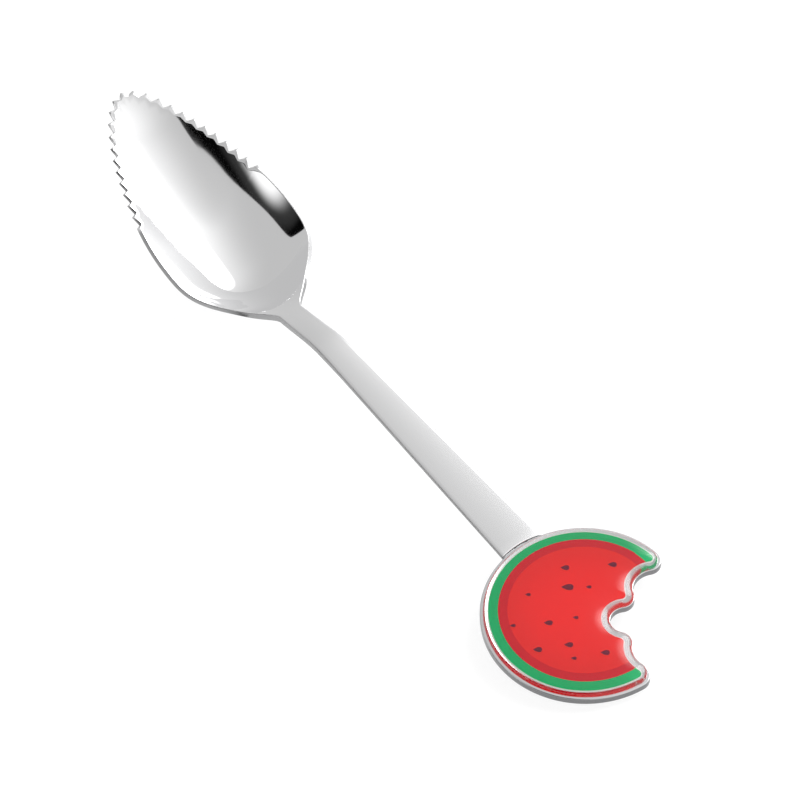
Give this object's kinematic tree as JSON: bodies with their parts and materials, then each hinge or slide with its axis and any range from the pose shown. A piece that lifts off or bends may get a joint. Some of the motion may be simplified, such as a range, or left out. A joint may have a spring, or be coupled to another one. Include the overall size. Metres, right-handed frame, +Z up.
{
  "type": "fruit scraping spoon",
  "caption": "Pressed steel spoon with a saw-toothed tip for scraping fruit, and a bitten melon-slice disc under a clear resin dome on its flat handle.",
  "frame": {"origin": "centre of the bounding box, on the surface that the spoon lies on", "axes": "+X along the spoon from the tip of the bowl to the disc, +Z up out of the bowl"},
  "size_m": [0.148, 0.0316, 0.02],
  "materials": {
    "spoon_steel": "mirror-polished bowl, satin handle",
    "plate_metal": "satin plated",
    "bond": "hardened adhesive",
    "label_white": "smooth film",
    "ink_green": "printed ink",
    "ink_dark_red": "printed ink",
    "ink_red": "printed ink",
    "ink_seed": "printed ink",
    "clear_resin": "clear poured resin, high gloss"
  },
  "bodies": {
    "root": {"spoon": "spoon_steel", "disc_plate": "plate_metal", "tab_bond": "bond", "label_film": "label_white", "rind_green": "ink_green", "rind_band_red": "ink_dark_red", "flesh_red": "ink_red", "seed_01": "ink_seed", "seed_02": "ink_seed", "seed_03": "ink_seed", "seed_04": "ink_seed", "seed_05": "ink_seed", "seed_06": "ink_seed", "seed_07": "ink_seed", "seed_08": "ink_seed", "seed_09": "ink_seed", "seed_10": "ink_seed", "seed_11": "ink_seed", "seed_12": "ink_seed", "resin_dome": "clear_resin"}
  },
  "joints": []
}
